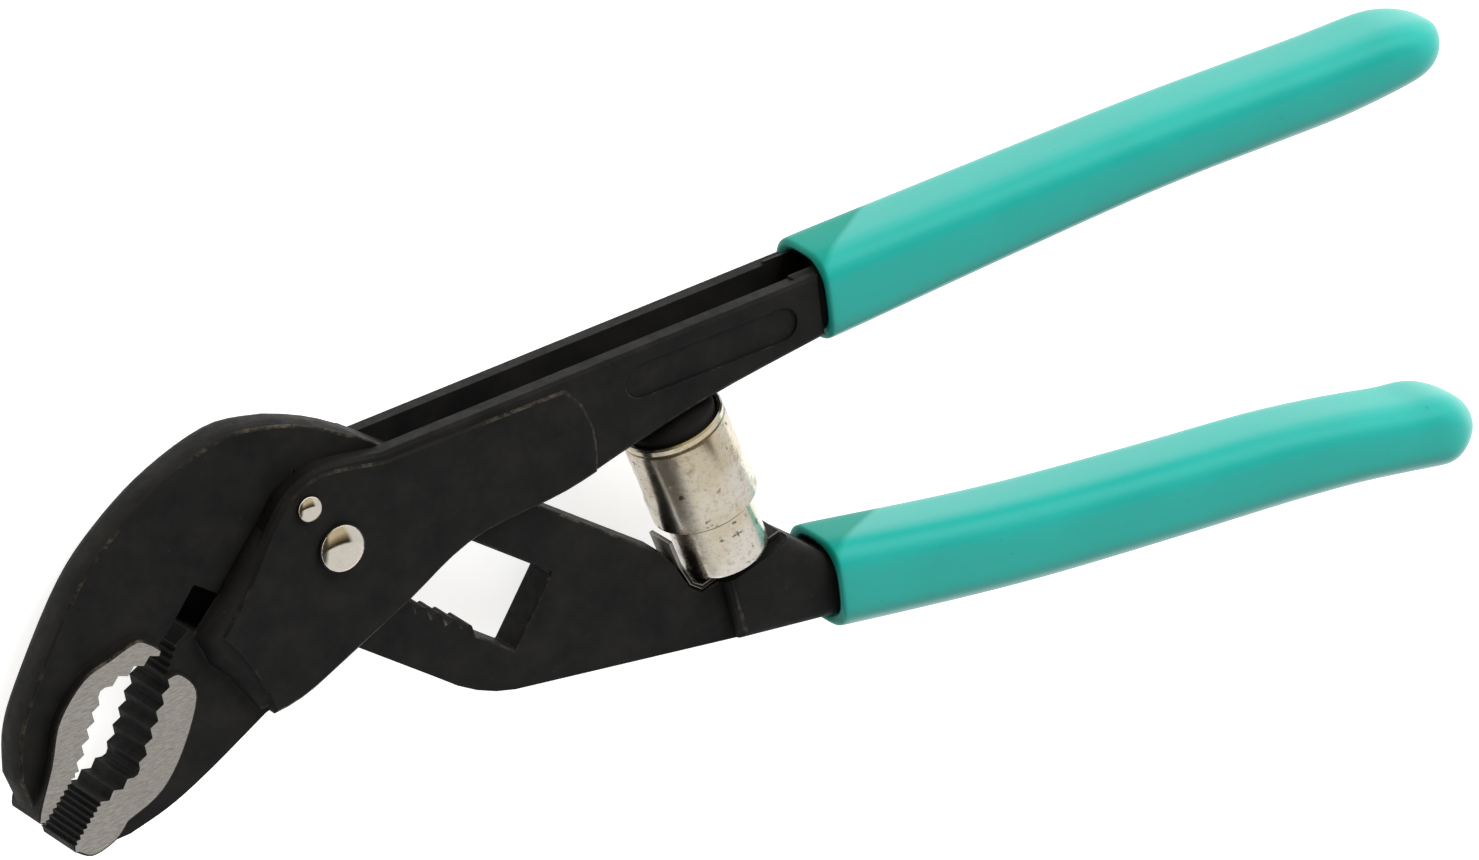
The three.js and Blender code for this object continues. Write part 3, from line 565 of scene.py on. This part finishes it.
def strut_shoe():
    place, r = strut_frame("strut_shoe")
    low, high = span("strut_shoe", STRUT_UP)
    points = [(0, low), (r, low)]
    start = low + 0.6 * (high - low)
    for i in range(SHOE_STEPS + 1):
        angle = math.pi / 2 * i / SHOE_STEPS
        radius = r * math.cos(angle) if i < SHOE_STEPS else 0
        points.append((radius, start + (high - start) * math.sin(angle)))
    mesh = finished(lathe(points, place, STRUT_UP), "strut_top_shoe")
    return place_piece("strut_top_shoe", mesh, "strut_shoe", ["black"])


def rivet(node, name):
    """A rivet with a rounded head rim, a low dome and a flush back."""
    low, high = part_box(node)
    centre = (low + high) / 2
    head = (high.x - low.x) / 2
    shank = head * RIVET_SHANK
    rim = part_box("slotted_handle")[1].z + 0.1 * MM
    rise = high.z - rim
    back = head * RIVET_BACK
    inner = low.z + RIVET_BACK_DEPTH
    points = [(0, low.z), (back - 0.15 * MM, low.z), (back, low.z + 0.15 * MM), (back, inner),
              (shank, inner), (shank, rim), (head - 0.12 * MM, rim), (head, rim + RIVET_RIM * rise)]
    for i in range(1, RIVET_STEPS + 1):
        angle = math.pi / 2 * i / RIVET_STEPS
        radius = head * math.cos(angle) if i < RIVET_STEPS else 0
        points.append((radius, rim + rise * (RIVET_RIM + (1 - RIVET_RIM) * math.sin(angle))))
    mesh = finished(lathe(points, Vector((centre.x, centre.y, 0)), Vector((0, 0, 1))), name)
    return place_piece(name, mesh, node, ["rivet"])


def slice_of(node, x):
    """Lowest and highest Y, half the thickness and the middle Z of a node where it crosses one X."""
    mesh = frame["nodes"][node].data
    points = []
    for edge in mesh.edges:
        a, b = (mesh.vertices[i].co for i in edge.vertices)
        if (a.x - x) * (b.x - x) < 0:
            points.append(a.lerp(b, (x - a.x) / (b.x - a.x)))
    ys = [p.y for p in points]
    zs = [p.z for p in points]
    return min(ys), max(ys), (max(zs) - min(zs)) / 2, (max(zs) + min(zs)) / 2


def rounded_section(x, low, high, half, middle, inset=0.0):
    """Points of a rounded rectangle across the handle."""
    low, high, half = low + inset, high - inset, half - inset
    tall = (high - low) / 2
    r = min(GRIP_ROUND, 0.98 * tall, 0.98 * half)
    centre = (low + high) / 2
    points = []
    for corner in range(4):
        cy = centre + (tall - r) * (1, -1, -1, 1)[corner]
        cz = middle + (half - r) * (1, 1, -1, -1)[corner]
        start = math.pi / 2 * corner
        for i in range(CORNER_STEPS + 1):
            angle = start + math.pi / 2 * i / CORNER_STEPS
            points.append(Vector((x, cy + r * math.cos(angle), cz + r * math.sin(angle))))
    return points


def dome(x, tip, length):
    """How much of its width an end keeps at one X, when it is rounded over the length before its tip."""
    along = max(0.0, (x - tip + length) / length)
    return math.sqrt(max(0.0, 1 - along * along))


def tip_sections(node, tip):
    """Sections of a grip's end: full above, where the line of the grip carries on, and round all over."""
    start = tip - TIP_LENGTH
    high = slice_of(node, start)[1]
    fall = (high - slice_of(node, start - TIP_LENGTH / 2)[1]) / (TIP_LENGTH / 2)
    apex = sum(slice_of(node, tip - MM)[:2]) / 2
    sections = []
    for i in range(1, TIP_STEPS):
        x = tip - TIP_LENGTH * (1 - math.sin(math.pi / 2 * i / TIP_STEPS))
        low, _, half, centre = slice_of(node, min(x, tip - TIP_UNDERSIDE))
        above = min(x, tip - TIP_TOP)
        top = slice_of(node, above)[1]
        top += TIP_FULLNESS * max(0.0, high + fall * (above - start) - top)
        low = apex + (low - apex) * dome(x, tip, TIP_UNDERSIDE)
        top = apex + (top - apex) * dome(x, tip, TIP_TOP)
        sections.append(rounded_section(x, low, top, half * dome(x, tip, TIP_SIDE), centre))
    return sections


def grip(node, name, finish):
    """A dipped grip lofted through sections of the node, with a rounded lip and a rounded end."""
    low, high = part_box(node)
    front, tip = low.x, high.x
    shoulder = tip - TIP_LENGTH
    stations = [front + GRIP_LIP]
    count = max(2, round((shoulder - front) / GRIP_STEP))
    stations += [front + (shoulder - front) * i / count for i in range(1, count + 1)]
    first = slice_of(node, front + GRIP_LIP)
    inside = front + GRIP_INSIDE
    sections = [rounded_section(inside, *slice_of(node, inside), GRIP_WALL)]
    sections.append(rounded_section(front + GRIP_LIP, *first, GRIP_WALL))
    for i in range(LIP_STEPS):
        angle = math.pi / 2 * i / LIP_STEPS
        x = front + GRIP_LIP * (1 - math.cos(angle) * 0.98)
        sections.append(rounded_section(x, *first, GRIP_LIP * (1.05 - math.sin(angle))))
    sections += [rounded_section(x, *slice_of(node, x)) for x in stations]
    sections += tip_sections(node, tip)
    work = bmesh.new()
    rings = [[work.verts.new(p) for p in points] for points in sections]
    for a, b in zip(rings, rings[1:]):
        for i in range(len(a)):
            j = (i + 1) % len(a)
            work.faces.new([a[i], a[j], b[j], b[i]])
    last = rings[-1]
    end = sum((v.co for v in last), Vector()) / len(last)
    cap = work.verts.new(Vector((tip, end.y, end.z)))
    for i in range(len(last)):
        work.faces.new([last[i], last[(i + 1) % len(last)], cap])
    bmesh.ops.remove_doubles(work, verts=work.verts, dist=0.01 * MM)
    bmesh.ops.recalc_face_normals(work, faces=work.faces)
    for face in work.faces:
        face.smooth = True
    piece = place_piece(name, finished(work, name), node, [finish])
    smooth = piece.modifiers.new("smooth", "SUBSURF")
    smooth.levels = smooth.render_levels = 2
    return piece


def spring_seat():
    """The bent sheet, bare along its edges."""
    mesh = finished(rounded_copy("spring_seat", SHEET_EDGE), "strut_seat")
    return place_piece("strut_seat", mesh, "spring_seat", ["seat", "steel"])


def dress_hidden_nodes():
    for node in ("pivot_bush", "rack_pawl", "compression_spring"):
        mesh = frame["nodes"][node].data
        mesh.materials.clear()
        mesh.materials.append(MATERIALS["steel"])


# The floor, lights and camera.
def floor():
    """A white sheet that glows a little, so that the shadows on it stay light."""
    material, tree, shader = new_material("pale_floor")
    tone = ramp(tree, noise(tree, 3, 2), [(0.3, (0.6, 0.6, 0.6)), (0.7, (0.62, 0.62, 0.62))])
    link(tree, tone, shader.inputs["Base Color"])
    link(tree, tone, shader.inputs["Emission Color"])
    shader.inputs["Emission Strength"].default_value = 1.25
    shader.inputs["Roughness"].default_value = 0.9
    shader.inputs["Specular IOR Level"].default_value = 0.0
    bpy.ops.mesh.primitive_plane_add(size=FLOOR_SIZE, location=(0, 0, CAD_BOX[0][2] - FLOOR_GAP))
    plane = bpy.context.object
    plane.name = "floor"
    plane.data.materials.append(material)


def area_light(name, place, aim, size, power):
    data = bpy.data.lights.new(name, "AREA")
    data.shape = "RECTANGLE"
    data.size, data.size_y = size
    data.energy = power
    lamp = bpy.data.objects.new(name, data)
    lamp.location = place
    lamp.rotation_euler = (Vector(aim) - Vector(place)).to_track_quat("-Z", "Y").to_euler()
    lamp.visible_glossy = False
    bpy.context.scene.collection.objects.link(lamp)


def facing(tree, direction, stops):
    """A ramp over how far a direction of the world turns towards a given one."""
    place = tree.nodes.new("ShaderNodeTexCoord")
    towards = tree.nodes.new("ShaderNodeVectorMath")
    towards.operation = "DOT_PRODUCT"
    towards.inputs[1].default_value = direction.normalized()
    link(tree, place.outputs["Generated"], towards.inputs[0])
    return ramp(tree, spread(tree, towards.outputs["Value"], 0, 1, -1, 1), stops)


def lights():
    """A bright screen across from the camera and a bright side wall in a dim warm room, with a soft
    key beyond the tool's back."""
    world = bpy.data.worlds.new("studio")
    world.use_nodes = True
    tree = world.node_tree
    lamp, dusk, dark = (0.75, 0.66, 0.46), (0.3, 0.24, 0.14), (0.05, 0.042, 0.03)
    white = (1, 1, 1)
    screen = facing(tree, SCREEN, [(0.38, lamp), (0.55, dusk), (0.65, dark), (0.69, dark), (0.72, white)])
    wall = facing(tree, SIDE_WALL, [(0.76, (0, 0, 0)), (0.84, (0.9, 0.9, 0.9))])
    shade = facing(tree, DARK_SIDE, [(0.74, (0, 0, 0)), (0.86, (0.92, 0.92, 0.92))])
    room = mix(tree, wall, screen, white)
    link(tree, mix(tree, shade, room, dark), tree.nodes["Background"].inputs["Color"])
    bpy.context.scene.world = world
    area_light("key", *KEY)
    area_light("fill", *FILL)
    bpy.context.scene.view_settings.view_transform = "Standard"


def camera():
    data = bpy.data.cameras.new("photo_camera")
    data.sensor_fit = "HORIZONTAL"
    data.sensor_width = SENSOR_WIDTH
    data.lens = FOCAL_PIXELS / PHOTO_WIDTH * SENSOR_WIDTH
    data.clip_end = 20
    lens = bpy.data.objects.new("photo_camera", data)
    back = CAMERA_RIGHT.cross(CAMERA_UP)
    turn = Matrix((CAMERA_RIGHT, CAMERA_UP, back)).transposed().to_4x4()
    lens.matrix_world = Matrix.Translation(CAMERA_PLACE) @ turn
    bpy.context.scene.collection.objects.link(lens)
    bpy.context.scene.camera = lens


camera()
forged_handle("slotted_handle", "slotted_forging")
forged_handle("toothed_handle", "toothed_forging")
rivet("pivot_rivet", "pivot_rivet_domed")
rivet("stop_rivet", "stop_rivet_domed")
outer_sleeve()
inner_sleeve()
strut_shoe()
spring_seat()
grip("upper_grip", "upper_dipped_grip", "upper_teal")
grip("lower_grip", "lower_dipped_grip", "lower_teal")
dress_hidden_nodes()
floor()
lights()
